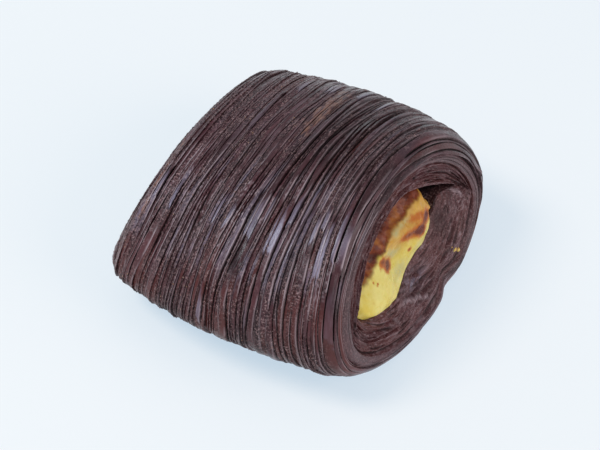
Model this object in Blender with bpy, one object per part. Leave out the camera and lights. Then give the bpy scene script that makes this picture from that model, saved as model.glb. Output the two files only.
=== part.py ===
"""Cream filled pastry roll: a flattened tube of laminated cocoa dough, ridged by its fine layers,
with a baked custard cream that runs through it and shows at both open ends.

Run with: blender --background --python part.py
Metres, Z up. The roll's axis lies along X, with the end that shows toward +X. It stands on Z = 0.
"""

import math
import random

import bmesh
import bpy
from mathutils import Vector, noise

MM = 0.001

# The roll. Heights and widths are taken at mid length, the length at mid height.
ROLL_WIDTH = 95.0 * MM
ROLL_HEIGHT = 45.4 * MM
ROLL_LENGTH = 72.9 * MM
WIDEST_AT = 0.381  # height of the widest line, as a share of the height
ROUNDNESS = 1.9  # exponent of the section: 2 is an ellipse, less is more pointed
BASE_CUT = 2.0 * MM  # what the flat base takes off the rounded underside
WIDTH_TREND = (-0.014, -0.122)  # linear and quadratic change of the width from end to end
HEIGHT_TREND = (0.144, -0.022)
END_RADIUS = 5.8 * MM  # rounding between the outside and an end face
END_SQUASH = 0.8  # the rounding reaches this share of its radius inward
# Each end face leans: its place along X moves by this much for each unit of Y and of Z.
NEAR_LEAN = (-0.044, -0.293)
FAR_LEAN = (-0.061, 0.153)
BOX_MIDDLE = 1.8 * MM  # the near end's foot reaches further out, so the box's middle lies there

# The layers of the wrap
LAYERS = 44
LAYER_RELIEF = 0.95 * MM  # from a gap's floor to the crest of a full layer
LAYER_SWEEP = 3.4 * MM  # how far a layer drifts toward the near end from the far to the near side
LAYER_WANDER = 0.7 * MM
WANDER_LENGTH = 9.0 * MM  # layers nearer than this wander together
LAYER_WIDTHS = (0.5, 2.1, 0.8)  # narrowest, widest and most usual, before they are fitted
FULL_WIDTH = 2.0 * MM  # a narrower layer stands proportionally less high
CREST_AT = 0.64  # where a layer stands highest, as a share of its width
RELIEF_CHANGE = 0.45  # how much the relief changes round the roll
LAYER_SEED = 23

# The end faces
RIM_INNER = 0.79  # inner edge of the smooth outer rim, as a share of the section
END_FACE_LUMP = 0.7 * MM
LUMP_ROWS = 20  # how many waves of lumps lie between the rim and the mouth
# From the rim to the mouth: share of the way, and depth behind the end face
RIM_TO_MOUTH = (
    (0.00, 0.2 * MM),
    (0.05, 1.3 * MM),
    (0.12, 0.6 * MM),
    (0.34, 0.3 * MM),
    (0.42, 0.9 * MM),
    (0.52, 0.4 * MM),
    (0.80, 0.6 * MM),
    (0.93, 1.1 * MM),
    (1.00, 2.0 * MM),
)
FULL_RELIEF_SPAN = 8.0 * MM  # a narrower face has proportionally shallower relief
SLIT_DEPTH = 5.0 * MM
BORE_DEPTH = 10.0 * MM  # from here inward the bore only holds the cream

# The mouth of the near end, seen from outside: right tip, over the roof, and back along the floor
MOUTH = tuple(
    (y * MM, z * MM)
    for y, z in (
        (28.0, 24.6), (22.0, 29.1), (15.5, 33.2), (9.0, 37.0), (2.0, 39.9), (-7.0, 39.2),
        (-14.5, 36.3), (-21.0, 31.6), (-26.2, 26.6), (-25.6, 21.3), (-19.5, 17.2), (-8.5, 14.8),
        (-0.5, 18.9), (8.8, 20.8), (14.2, 25.0), (19.0, 27.4),
    )
)

# The cream
CREAM_REACH = 12.0 * MM  # the cream ends here, and the slit beyond it stays open
REACH_SOFTNESS = 0.15
TIP_START = 19.0 * MM  # beyond this the slit's drooping tip is also lifted, to close it bluntly
TIP_RISE = 0.41
CREAM_GAP = 0.42 * MM
CREAM_FRONT = 1.6 * MM  # depth of its front behind the end face
LIP_START = (-26.0 * MM, 26.7 * MM)  # above this line the cream falls back under the roof
LIP_RISE = 0.25
LIP_FALL = 1.15
LIP_ROUNDING = 1.2 * MM
# Lumps on the cream's front: centre, radii and height
LUMPS = (
    ((-18.5 * MM, 22.5 * MM), (8.5 * MM, 5.0 * MM), 2.2 * MM),
    ((5.5 * MM, 28.5 * MM), (6.5 * MM, 5.0 * MM), 1.3 * MM),
    ((-6.5 * MM, 25.0 * MM), (3.2 * MM, 4.5 * MM), -1.6 * MM),
    ((9.5 * MM, 31.5 * MM), (3.0 * MM, 3.0 * MM), 0.9 * MM),
)

# Mesh density
AROUND = 48
TURNS = [2 * math.pi * k / AROUND for k in range(AROUND)]
CAP_SHARES = (0.0, 0.17, 0.33, 0.48, 0.62, 0.75, 0.87, 0.95, 1.0)
CURVE_STEPS = 24  # steps between two of the mouth's points

# Waves of the unevenness: its reach round the roll, and its step from one ring to the next
WANDER_REACH = 1.6
RELIEF_REACH = 1.9
LUMP_REACH = 2.5
ROW_STEP = 1.86

HALF_LENGTH = ROLL_LENGTH / 2
HALF_WIDTH = ROLL_WIDTH / 2
PATH_STRAIGHT = HALF_LENGTH - END_RADIUS
PATH_ARC = END_RADIUS * (1 + END_SQUASH) / 2 * math.pi / 2
PATH_HALF = PATH_STRAIGHT + PATH_ARC


def half_width_at(along):
    return HALF_WIDTH * (1 + WIDTH_TREND[0] * along + WIDTH_TREND[1] * along * along)


def height_at(along):
    return ROLL_HEIGHT * (1 + HEIGHT_TREND[0] * along + HEIGHT_TREND[1] * along * along)


def place(along, y, z, push=0.0):
    """A point of the roll. along is -1 at the far end and 1 at the near end; push is toward +X."""
    lean = NEAR_LEAN if along > 0 else FAR_LEAN
    shift = lean[0] * y + lean[1] * (z - height_at(along) / 2)
    x = along * HALF_LENGTH + abs(along) * shift + push
    return Vector((x - BOX_MIDDLE, y, max(z, 0.0)))


def section(turn, along, inset=0.0):
    """The outline's (y, z). turn 0 is the far side, a quarter turn is the top."""
    half_width, height = half_width_at(along), height_at(along)
    widest = WIDEST_AT * height
    cosine, sine = math.cos(turn), math.sin(turn)
    power = 2 / ROUNDNESS
    y = half_width * math.copysign(abs(cosine) ** power, cosine)
    reach = height - widest if sine >= 0 else widest + BASE_CUT
    z = math.copysign(abs(sine) ** power, sine) * reach
    return y * (1 - inset / half_width), widest + z * (1 - inset / (0.5 * height))


def layer_edges():
    """Places along the outside, from end to end, where one layer of the wrap meets the next."""
    draw = random.Random(LAYER_SEED)
    widths = [draw.triangular(*LAYER_WIDTHS) for _ in range(LAYERS)]
    scale = 2 * PATH_HALF / sum(widths)
    edges = [-PATH_HALF]
    for width in widths:
        edges.append(edges[-1] + width * scale)
    return edges


def uneven(turn, row, reach):
    """Smooth noise from about -1 to 1, which closes on itself round the roll. A longer reach has
    more waves in it."""
    return 2 * noise.noise(Vector((reach * math.cos(turn), reach * math.sin(turn), row)))


def wrap_point(path, turn, height):
    """A point of the wrap: path runs from -PATH_HALF to PATH_HALF, height is off the mean skin."""
    edge = 1 - (path / PATH_HALF) ** 2
    path -= LAYER_SWEEP * edge * math.cos(turn)
    path += LAYER_WANDER * edge * uneven(turn, path / WANDER_LENGTH, WANDER_REACH)
    bend = max(abs(path) - PATH_STRAIGHT, 0.0) / PATH_ARC * math.pi / 2
    side = math.copysign(1.0, path)
    if bend > 0:
        along = side * (PATH_STRAIGHT + END_RADIUS * math.sin(bend)) / HALF_LENGTH
    else:
        along = path / HALF_LENGTH
    inset = END_SQUASH * END_RADIUS * (1 - math.cos(bend)) - height * math.cos(bend)
    y, z = section(turn, along, inset)
    return place(along, y, z, side * height * math.sin(bend))


def wrap_stations():
    """(path, level) of each ring on the outside: gap, crest, gap, and so on. The level runs from
    -0.5 on the floor of a full gap to 0.5 on a full crest."""
    edges = layer_edges()
    stations = []
    for start, end in zip(edges, edges[1:]):
        level = 0.5 * min((end - start) / FULL_WIDTH, 1.0)
        stations.append((start, -level))
        stations.append((start + CREST_AT * (end - start), level))
    stations.append((edges[-1], 0.0))
    return stations


def closed_curve(points, steps):
    """A Catmull-Rom curve through the points, which closes on itself."""
    count = len(points)
    curve = []
    for i in range(count):
        before, start, end, after = (Vector(points[(i + k) % count]) for k in (-1, 0, 1, 2))
        for k in range(steps):
            t = k / steps
            curve.append(
                0.5
                * (
                    2 * start
                    + (end - before) * t
                    + (2 * before - 5 * start + 4 * end - after) * t * t
                    + (3 * start - before - 3 * end + after) * t * t * t
                )
            )
    return curve


def evenly_spaced(curve, count):
    """count points at equal distances along the closed curve."""
    lengths = [0.0]
    for i, point in enumerate(curve):
        lengths.append(lengths[-1] + (curve[(i + 1) % len(curve)] - point).length)
    points, i = [], 0
    for k in range(count):
        target = lengths[-1] * k / count
        while lengths[i + 1] < target:
            i += 1
        share = (target - lengths[i]) / (lengths[i + 1] - lengths[i])
        points.append(curve[i].lerp(curve[(i + 1) % len(curve)], share))
    return points


MOUTH_RING = evenly_spaced(closed_curve(MOUTH, CURVE_STEPS), AROUND)


def narrowed(point):
    """The bore's outline past the slit: what lies beyond the cream's reach is pulled in."""
    y, z = point
    z += TIP_RISE * max(y - TIP_START, 0.0)
    if y > CREAM_REACH:
        y = CREAM_REACH + REACH_SOFTNESS * (y - CREAM_REACH)
    return Vector((y, z))


CORE_RING = [narrowed(point) for point in MOUTH_RING]


def moved_inward(ring, gap):
    moved = []
    for i, point in enumerate(ring):
        way = ring[(i + 1) % len(ring)] - ring[i - 1]
        moved.append(point + gap * Vector((-way.y, way.x)).normalized())
    return moved


CREAM_RING = moved_inward(CORE_RING, CREAM_GAP)


def fitted(y, z, along):
    """A (y, z) of the near end's mouth, scaled to the section at this place along the roll."""
    wide = half_width_at(along) / half_width_at(1.0)
    high = height_at(along) / height_at(1.0)
    return Vector((y * wide, z * high))


def at_depth(side, depth):
    return side * (1 - depth / HALF_LENGTH)


def inner_ring(ring, side, depth):
    """The ring of mouth points, this deep behind the end face."""
    along = at_depth(side, depth)
    return [place(along, *fitted(y, z, along)) for y, z in ring]


def end_rings(side):
    """Rings of one end, from the rim over the layered face and round the mouth into the bore."""
    rim = []
    for turn in TURNS:
        y, z = section(turn, side)
        widest = WIDEST_AT * height_at(side)
        rim.append(Vector((y * RIM_INNER, widest + (z - widest) * RIM_INNER)))
    mouth = [fitted(y, z, side) for y, z in MOUTH_RING]
    rings = []
    for share, depth in RIM_TO_MOUTH:
        ring = []
        for k, turn in enumerate(TURNS):
            span = (mouth[k] - rim[k]).length
            wave = uneven(turn, LUMP_ROWS * share + side, LUMP_REACH)
            lump = END_FACE_LUMP * wave * math.sin(math.pi * share)
            deep = depth * min(span / FULL_RELIEF_SPAN, 1.0) + lump
            along = at_depth(side, deep)
            y, z = rim[k].lerp(fitted(*MOUTH_RING[k], along), share)
            ring.append(place(along, y, z))
        rings.append(ring)
    rings.append(inner_ring(MOUTH_RING, side, SLIT_DEPTH))
    rings.append(inner_ring(CORE_RING, side, BORE_DEPTH))
    return rings


def roll_rings():
    """All rings of the dough, once round its wall: outside, near end, bore and far end."""
    rings = []
    for row, (path, level) in enumerate(wrap_stations()):
        ring = []
        for turn in TURNS:
            strength = 1 + RELIEF_CHANGE * uneven(turn, row * ROW_STEP, RELIEF_REACH)
            ring.append(wrap_point(path, turn, level * LAYER_RELIEF * strength))
        rings.append(ring)
    return rings + end_rings(1) + end_rings(-1)[::-1]


def cream_depth(y, z):
    """How far the cream's front lies behind the end face, at a point of the near end's mouth."""
    above = z - LIP_START[1] - LIP_RISE * (y - LIP_START[0])
    rounded = (above + math.hypot(above, LIP_ROUNDING)) / 2
    depth = CREAM_FRONT + LIP_FALL * rounded
    for (centre_y, centre_z), (wide, high), height in LUMPS:
        away = ((y - centre_y) / wide) ** 2 + ((z - centre_z) / high) ** 2
        depth -= height * math.exp(-away)
    return depth


def cream_end_rings(side):
    """Rings of one of the cream's ends, from near its middle out to the bore's wall."""
    middle = sum(CREAM_RING, Vector((0.0, 0.0))) / AROUND
    rings = []
    for share in CAP_SHARES:
        ring = []
        for point in CREAM_RING:
            y, z = middle.lerp(point, share)
            along = at_depth(side, cream_depth(y, z))
            ring.append(place(along, *fitted(y, z, along)))
        rings.append(ring)
    return rings


def cream_rings():
    """All rings of the cream, from the middle of its near end to the middle of its far end."""
    inside = [inner_ring(CREAM_RING, side, BORE_DEPTH) for side in (1, -1)]
    return cream_end_rings(1) + inside + cream_end_rings(-1)[::-1]


def material(name, colour, roughness):
    made = bpy.data.materials.new(name)
    made.use_nodes = True
    shader = made.node_tree.nodes["Principled BSDF"]
    shader.inputs["Base Color"].default_value = (*colour, 1.0)
    shader.inputs["Roughness"].default_value = roughness
    shader.inputs["Metallic"].default_value = 0.0
    return made


def add_object(name, mesh_maker, collection, finish):
    work = bmesh.new()
    mesh_maker(work)
    bmesh.ops.triangulate(work, faces=work.faces)
    bmesh.ops.recalc_face_normals(work, faces=work.faces)
    mesh = bpy.data.meshes.new(name)
    work.to_mesh(mesh)
    work.free()
    mesh.materials.append(finish)
    mesh.shade_smooth()
    made = bpy.data.objects.new(name, mesh)
    collection.objects.link(made)
    return made


def shaped_torus(work, rings):
    """A torus whose cross circles become the rings, in their order round the wall."""
    major, minor = 2.0, 1.0
    bpy.ops.mesh.primitive_torus_add(
        major_segments=len(rings), minor_segments=AROUND, major_radius=major, minor_radius=minor
    )
    start = bpy.context.object
    work.from_mesh(start.data)
    bpy.data.objects.remove(start)
    for vert in work.verts:
        x, y, z = vert.co
        ring = round(math.atan2(y, x) / (2 * math.pi) * len(rings)) % len(rings)
        step = round(math.atan2(z, math.hypot(x, y) - major) / (2 * math.pi) * AROUND) % AROUND
        vert.co = rings[ring][step]


def shaped_sphere(work, rings):
    """A sphere whose circles of latitude become the rings; its poles are the first and last."""
    bmesh.ops.create_uvsphere(work, u_segments=AROUND, v_segments=len(rings) - 1, radius=1.0)
    for vert in work.verts:
        x, y, z = vert.co
        ring = round(math.acos(max(-1.0, min(1.0, z))) / math.pi * (len(rings) - 1))
        step = round(math.atan2(y, x) / (2 * math.pi) * AROUND) % AROUND
        vert.co = rings[ring][step]


def main():
    for old in list(bpy.data.objects):
        bpy.data.objects.remove(old)
    collection = bpy.data.collections.new("cream_filled_pastry_roll")
    bpy.context.scene.collection.children.link(collection)
    dough = material("cocoa dough", (0.075, 0.042, 0.040), 0.42)
    custard = material("baked custard cream", (0.78, 0.56, 0.16), 0.45)
    add_object("pastry_roll", lambda work: shaped_torus(work, roll_rings()), collection, dough)
    add_object("cream_filling", lambda work: shaped_sphere(work, cream_rings()), collection, custard)


main()
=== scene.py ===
"""Looks of the cream filled pastry roll: its wrap of thin cocoa dough sheets, the layered ends and
the baked custard cream. Metres, Z up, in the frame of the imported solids."""

import math
import random

import bmesh
import bpy
import numpy as np
from mathutils import Matrix, Vector, noise


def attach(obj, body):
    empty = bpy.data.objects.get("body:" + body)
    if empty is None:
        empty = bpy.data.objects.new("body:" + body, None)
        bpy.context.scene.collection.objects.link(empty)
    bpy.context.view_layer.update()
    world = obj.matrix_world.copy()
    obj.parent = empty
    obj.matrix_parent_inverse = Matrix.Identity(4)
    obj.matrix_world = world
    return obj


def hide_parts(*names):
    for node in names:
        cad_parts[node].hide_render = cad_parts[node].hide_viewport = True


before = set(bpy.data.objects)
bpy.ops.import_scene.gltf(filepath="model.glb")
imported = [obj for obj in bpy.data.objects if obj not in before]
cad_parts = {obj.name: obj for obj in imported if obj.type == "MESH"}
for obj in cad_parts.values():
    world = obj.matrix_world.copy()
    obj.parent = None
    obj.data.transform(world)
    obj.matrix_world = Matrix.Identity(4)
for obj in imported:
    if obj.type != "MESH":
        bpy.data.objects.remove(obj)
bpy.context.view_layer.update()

MM = 0.001


def in_mm(points):
    """Pairs of lengths, given in millimetres."""
    return tuple((y * MM, z * MM) for y, z in points)


def marks(*rows):
    """((y, z), (reach in y, reach in z), strength) of marks on the near end. Each row gives these
    five numbers, the lengths in millimetres."""
    return tuple((*in_mm((row[:2], row[2:4])), row[4]) for row in rows)


def stretches(*rows):
    """Stretches of the wrap: place along the path, degrees round the roll, reach across the
    sheets, half length in degrees and any strength. The two lengths are given in millimetres."""
    return tuple((at * MM, degrees, reach * MM, *rest) for at, degrees, reach, *rest in rows)


# The roll's form, as in the solids
ROLL_WIDTH = 95 * MM
ROLL_HEIGHT = 45.4 * MM
ROLL_LENGTH = 72.9 * MM
WIDEST_AT = 0.381
ROUNDNESS = 1.9
BASE_CUT = 2 * MM
WIDTH_TREND = (-0.014, -0.122)
HEIGHT_TREND = (0.144, -0.022)
END_RADIUS = 5.8 * MM
END_SQUASH = 0.8
NEAR_LEAN = (-0.044, -0.293)
FAR_LEAN = (-0.061, 0.153)
BOX_MIDDLE = 1.8 * MM

LAYERS = 44
LAYER_SWEEP = 3.4 * MM
LAYER_WANDER = 0.7 * MM
WANDER_LENGTH = 9 * MM
WANDER_REACH = 1.6
LAYER_WIDTHS = (0.5, 2.1, 0.8)
LAYER_SEED = 23

RIM_INNER = 0.79
END_FACE_LUMP = 0.7 * MM
LUMP_ROWS = 20
LUMP_REACH = 2.5
# (share of the way from the rim to the mouth, depth of the end face there)
RIM_TO_MOUTH = tuple(
    (share, depth * MM)
    for share, depth in (
        (0.00, 0.2), (0.05, 1.3), (0.12, 0.6), (0.34, 0.3), (0.42, 0.9),
        (0.52, 0.4), (0.80, 0.6), (0.93, 1.1), (1.00, 2.0),
    )
)
FULL_RELIEF_SPAN = 8 * MM
SLIT_DEPTH = 5 * MM
BORE_DEPTH = 10 * MM
MOUTH = in_mm((
    (28, 24.6), (22, 29.1), (15.5, 33.2), (9, 37), (2, 39.9), (-7, 39.2), (-14.5, 36.3),
    (-21, 31.6), (-26.2, 26.6), (-25.6, 21.3), (-19.5, 17.2), (-8.5, 14.8), (-0.5, 18.9),
    (8.8, 20.8), (14.2, 25), (19, 27.4),
))
CREAM_REACH = 12 * MM
REACH_SOFTNESS = 0.15
TIP_START = 19 * MM
TIP_RISE = 0.41
CREAM_GAP = 0.25 * MM
CREAM_FRONT = 1.6 * MM
LIP_START = (-26 * MM, 26.7 * MM)
LIP_RISE = 0.25
LIP_FALL = 1.15
LIP_ROUNDING = 1.2 * MM
# Lumps of the cream's front, as in the solids, and swells that these leave out. Their strength is
# a height in millimetres.
LUMPS = marks(
    (-18.5, 22.5, 8.5, 5, 2.2), (5.5, 28.5, 6.5, 5, 1.3), (-6.5, 25, 3.2, 4.5, -1.6),
    (9.5, 31.5, 3, 3, 0.9),
)
SWELLS = marks((-14, 19.5, 5, 4, 0.9), (8.5, 25.5, 5, 3.5, 0.8))

HALF_LENGTH = ROLL_LENGTH / 2
HALF_WIDTH = ROLL_WIDTH / 2
PATH_STRAIGHT = HALF_LENGTH - END_RADIUS
PATH_ARC = END_RADIUS * (1 + END_SQUASH) / 2 * math.pi / 2
PATH_HALF = PATH_STRAIGHT + PATH_ARC
GIRTH = 235 * MM  # once round the roll, for the size of patterns

# The grids' columns run round the roll from the middle of its base
AROUND = 372
BASE_WEIGHT = 0.3  # columns stand this much less close where the roll rests
BASE_LEVEL = 1.5 * MM

# Each layer of the solids is one to three thin sheets here
SHEET_WIDTH = 1.2 * MM
SHEET_SEED = 7
SHEET_SWAY = 0.42  # how far a gap between sheets strays, as a share of its narrower neighbour
SHEET_STRAY = 0.22  # how far its mean place inside a layer is off an even one, in sheets
TOP_SHARES = (0.0, 0.09, 0.3, 0.5, 0.7, 0.91, 1.0)  # rows over a sheet's top
INNER_OPENING = (0.05, 0.45)  # how far gaps inside a layer open
LAYER_OPENING = (0.45, 1.0)  # and gaps between two layers
GAP_HALF_WIDTH = (0.05 * MM, 0.25 * MM)  # of a shut gap, and what an open one adds
GAP_DEPTH = (0.07 * MM, 1.1 * MM)
GAP_FLOOR, GAP_TOP = 0.6, 1.15  # where a gap's wall starts and ends, in half widths
FOOT_DEPTH = 0.93  # of the wall's start, as a share of the gap's depth
FULL_SHEET = 0.9 * MM  # narrower sheets have shallower gaps and tilt less
SHEET_TILT = 0.42 * MM
SHEET_LIFT = 0.24 * MM
LAYER_LIFT = 0.3 * MM
SHINE_LIFT = 0.2 * MM
SHEET_BULGE = 0.05 * MM
JAG = 0.2 * MM
FULL_JAG = 0.8 * MM  # narrower sheets have smaller jags
CRUMB = 0.1 * MM
SMOOTH_FROM = (31 * MM, 35 * MM)  # the sheets by the near end are smooth and whole
FAR_UNTIL = (-20 * MM, 8 * MM)  # up to here the wrap is rougher
NEAR_FROM = (-22 * MM, 12 * MM)  # from here its gaps open further
WRAP_PIECES = ("wrap_far", "wrap_left", "wrap_right", "wrap_near")
DOUGH_TAGS = ("gap", "edge", "tone", "rough", "red", "tan", "mauve", "grain")
SHARP_ANGLE = math.radians(50)

# Parts of a turn, as shares: middle and reach, or where each rises and where it falls
CROWN = (0.2, 0.1)
SHOULDER = (0.34, 0.06)
LOW_SIDE = ((0.37, 0.45), (0.55, 0.65))
# The sheen side is where the window's reflection falls; sheen and glints are painted most there
SHEEN_SIDE = ((0.27, 0.31), (0.39, 0.44))
CRUMB_SIDE = ((0.2, 0.26), (0.5, 0.6))

# Stretches where one sheet or two lie flat and shine. Their strength is how strongly a bluish sheen
# is painted on them.
SHINING = stretches(
    (2, 123, 0.5, 10, 0.6), (-4.4, 126, 0.1, 6, 0.65), (5.6, 119, 0.1, 6, 0.6),
    (13.6, 117, 0.1, 7, 0.6), (10.4, 126, 0.7, 9.5, 1), (29, 129.5, 0.4, 12, 1),
    (31.6, 122, 0.1, 13, 0.7), (24.4, 122.5, 0.1, 6, 0.7), (26.6, 118, 0.1, 5, 0.6),
    (-9.4, 125.5, 0.1, 6.5, 0.9), (-3.6, 166, 0.4, 12, 0.6), (10.6, 160, 0.1, 13, 0.25),
    (33.8, 154, 0.1, 16, 0.15), (-31.4, 124, 0.1, 8, 0.7), (-25, 126, 0.1, 6, 0.8),
    (21.8, 62, 0.1, 14, 0.15), (-17.6, 78, 0.1, 14, 0.2), (-8.4, 31, 0.4, 9, 0.5),
    (27.2, 65, 0.1, 8, 0.3), (18.6, 128, 0.1, 8, 0.4), (6.7, 16, 0.1, 12, 0.3),
    (-20.6, -6, 0.2, 12, 0.3), (17.2, 192, 0.1, 12, 0.3), (-6.7, 47, 0.4, 8, 0.5),
    (2.6, 44, 0.4, 9, 0.45), (11.9, 48, 0.3, 9, 0.4), (-14.5, 52, 0.1, 9, 0.4),
    (1.9, 101, 0.1, 6, 0.3), (18, 116, 0.1, 7, 0.45),
)
# Light brown streaks. Their reach is half their width.
STREAKS = stretches(
    (-1.6, 68, 2.7, 20, 0.7), (-33.5, 112, 0.5, 9, 0.9), (-33, 124, 0.4, 5, 0.9),
    (-32, 138, 0.5, 5, 0.8),
)
# A lifted corner of a sheet
(TUFT,) = stretches((37.4, 7, 1, 2.2))
TUFT_HEIGHT = 0.8 * MM

# The ends' grids: rows over the rim, over the face, and down each of the lip and the bore
RIM_ROWS = 24
FACE_ROWS = 122
BORE_ROWS = 11
CURVE_STEPS = 24  # between two points of the mouth
RIM_CROWN = 0.3 * MM
RIM_FALL = 0.2 * MM
RIM_SWELL, RIM_GRIT = 0.08 * MM, 0.02 * MM
RIM_LINE = 0.4 * MM  # depth of the two lines that run round the rim
# The fine cuts between the face's layers, and its fibres
CUT_GAP = 0.95 * MM
CUT_WIDTH = 0.15 * MM
CUT_DEPTH = 0.55 * MM
CUTS_FROM = (0.7 * MM, 1.6 * MM)  # inward of the rim
FINE_SIZE, FINE_DEPTH = 0.28 * MM, 0.13 * MM
COARSE_SIZE, COARSE_DEPTH = 0.6 * MM, 0.2 * MM

# A dent in the near end's rim, where the outer layer ends: middle, reach and push
DENT = np.array(((39.8, 12.6, 4.5), (5.0, 4.2, 5.0), (-2.0, -0.3, 0.6))) * MM

# Marks on the near end's face and on the cream, at (y, z)
FOLD = in_mm(((-9.6, 13.6), (-4.2, 11), (0.2, 8.4), (4, 6.2)))
FOLD_DEPTH = 1 * MM
FOLD_WIDTH = 1.8 * MM
CREST_WIDTH = 0.35 * MM  # of the fold's light edge
CURL = in_mm(((15, 27.2), (19.5, 28.4), (23.5, 26.6), (26.4, 24), (27.6, 20.8)))
CURL_HEIGHT = 0.6 * MM
CURL_WIDTH = 0.45 * MM
# Their strength is a depth in millimetres
RECESS, SHADED, PLEATS = marks(
    (-0.6, 16.2, 4.4, 3, 0.9), (15.8, 22, 3.2, 4.5, 1), (-28, 16, 4.5, 6, 0.7)
)
PLEAT_WAVES = 120
# Fibres on the near end's face, with a painted bluish sheen
FIBRE_SHEEN = in_mm(((-1.4, 14.6), (3.8, 1.9)))  # bluish ones: middle and reach
TOASTED = marks(
    (9.9, 28.4, 2, 1.7, 1.25), (6.9, 30.6, 2.2, 1.2, 0.55), (4.4, 31.4, 1.8, 1, 0.4),
    (6.4, 26.4, 2, 1.8, 1.4), (4, 27.3, 2, 1.2, 0.7), (1.6, 28.2, 2, 1.3, 0.75),
    (-0.6, 28.8, 1.6, 1.1, 0.6), (-9, 26, 1.9, 1.4, 1.5), (-10.9, 28.4, 2, 1.3, 0.9),
    (-7.6, 24.4, 1.2, 0.9, 0.45), (0.3, 24.2, 0.8, 0.7, 0.9), (-16.3, 26.1, 0.35, 0.35, 0.8),
    (-17.4, 27.1, 0.35, 0.35, 0.8), (-16.8, 25.7, 0.3, 0.3, 0.7), (-21, 23.6, 0.35, 0.35, 0.8),
)
PALE = marks(
    (-5.2, 26.6, 2.3, 1.3, 1), (-7.6, 28.3, 1.5, 0.9, 0.9), (0.8, 32.1, 3.4, 0.7, 0.7),
    (-2.8, 31.6, 1.2, 1, 0.7), (-4.5, 20.6, 3.4, 2.4, 0.8), (5, 22.5, 4.5, 1.6, 0.45),
)
# Above this line of (y, z) points the cream is baked brown and lies further back
BROWN_ABOVE = in_mm((
    (-20, 28.2), (-16.2, 28.5), (-11.5, 29.8), (-7.9, 29.3), (-5.3, 31.1), (-2.8, 32.6),
    (1.3, 33), (6.6, 34), (9.7, 33.9), (11.5, 34.5),
))
BROWN_STEP = 0.9 * MM
ORANGE_FROM = ((-11 * MM, -5 * MM), (23.5 * MM, 29.5 * MM))  # in y and in z
LOWER_LOBE_UNTIL = (-14 * MM, -8 * MM)
CREAM_ROWS = 72
CREAM_BUMPS = 0.44 * MM
CREAM_SKIN = 0.25 * MM
CREAM_ROUNDING = 1.3 * MM  # how far its edge lies back

# Bits of cream on the near end's face: (y, z), sizes and how toasted each is
FALLEN_CREAM = in_mm(((17.5, 11.6), (17.8, 10.6), (18.7, 10.0), (20.6, 8.2)))
FALLEN_SIZES = (1 * MM, 0.8 * MM, 0.9 * MM, 0.8 * MM)
FALLEN_TOAST = (0.34, 0.24, 0.36, 0.28)

LOOSE_CRUMBS = 4600
CRUMB_SIZES = (0.09, 0.28)  # millimetres, most of them near the smaller
CRUMBS_ABOVE = 6 * MM

# Colours of the dough and its crumbs
# Painted shade in the gaps between sheets and in the cuts and hollows of the ends
GAP_SHADE = (0.005, 0.002, 0.002)
DOUGH_DARK = (0.023, 0.0075, 0.0093)
DOUGH_LIGHT = (0.099, 0.037, 0.044)
DOUGH_RED = (0.11, 0.026, 0.021)
DOUGH_TAN = (0.25, 0.118, 0.078)
# Painted bluish sheen, of flat sheets that reflect the window
SHEEN_BLUE = (0.235, 0.205, 0.275)
GRAIN_LIGHT = (0.3, 0.19, 0.185)
GRAIN_DARK = (0.012, 0.004, 0.005)
# Pale edges, also used for painted glints on the sheen side
PALE_EDGE_AND_GLINT = (0.4, 0.3, 0.32)
CRUMB_DARK = (0.04, 0.015, 0.016)
CRUMB_LIGHT = (0.21, 0.125, 0.12)
CRUMB_GOLD = (0.38, 0.2, 0.1)
# Colours of the cream: where it is yellow, and where it is orange
CREAM_BASE = (0.61, 0.46, 0.08), (0.45, 0.22, 0.03)
CREAM_BRIGHT = (0.69, 0.58, 0.185), (0.56, 0.32, 0.06)
CREAM_PALE = (0.42, 0.365, 0.165)
TOAST_HALO = (0.42, 0.115, 0.01)
TOAST_CORE = (0.12, 0.02, 0.008)
CRUST = (0.23, 0.048, 0.014), (0.12, 0.021, 0.008)
CRUST_LIGHT = (0.36, 0.12, 0.024)
CRUST_DARK = (0.08, 0.014, 0.007)

FLOOR_SIZE = 4.0
FLOOR_COLOUR = (0.33, 0.24, 0.165)
FLOOR_GLOW = (0.665, 0.844, 1.0)
FLOOR_GLOW_STRENGTH = 0.737
SKY_COLOUR = (0.88, 0.94, 1.0)
SKY_STRENGTH = 0.5
LIGHT_AIM = (0, 0, 0.02)

# The photograph's camera
CAMERA_AZIMUTH = math.radians(34.706)
CAMERA_ELEVATION = math.radians(46.40)
CAMERA_DISTANCE = 550.1 * MM
CAMERA_TARGET = Vector((2.908 * MM - BOX_MIDDLE, -3.516 * MM, 17.671 * MM))
CAMERA_ROLL = math.radians(-0.621)
CAMERA_LENS = 119.7  # in millimetres, as the sensor's width
SENSOR_WIDTH = 36.0


class Waves:
    """Smooth seeded noise from -1 to 1. down is in waves; around is a share of one turn, and the
    noise closes on itself there."""

    def __init__(self, seed, rows, columns):
        self.grid = np.random.default_rng(seed).uniform(-1, 1, (rows, columns))

    def at(self, down, around):
        rows, columns = self.grid.shape
        across = np.asarray(around) * columns
        down = np.asarray(down, float)
        row, column = np.floor(down).astype(int), np.floor(across).astype(int)
        a, b = down - row, across - column
        a, b = a * a * (3 - 2 * a), b * b * (3 - 2 * b)
        low, high = row % rows, (row + 1) % rows
        left, right = column % columns, (column + 1) % columns
        grid = self.grid
        top = grid[low, left] * (1 - b) + grid[low, right] * b
        bottom = grid[high, left] * (1 - b) + grid[high, right] * b
        return top * (1 - a) + bottom * a


def smooth_step(value, low=0.0, high=1.0):
    share = np.clip((value - low) / (high - low), 0, 1)
    return share * share * (3 - 2 * share)


def bell(value, middle, reach):
    """1 at the middle, falling off to 0."""
    return np.exp(-(((value - middle) / reach) ** 2))


def band(value, rise, fall):
    """0, then 1 from the end of the rise to the start of the fall, then 0 again."""
    return smooth_step(value, *rise) * (1 - smooth_step(value, *fall))


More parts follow.
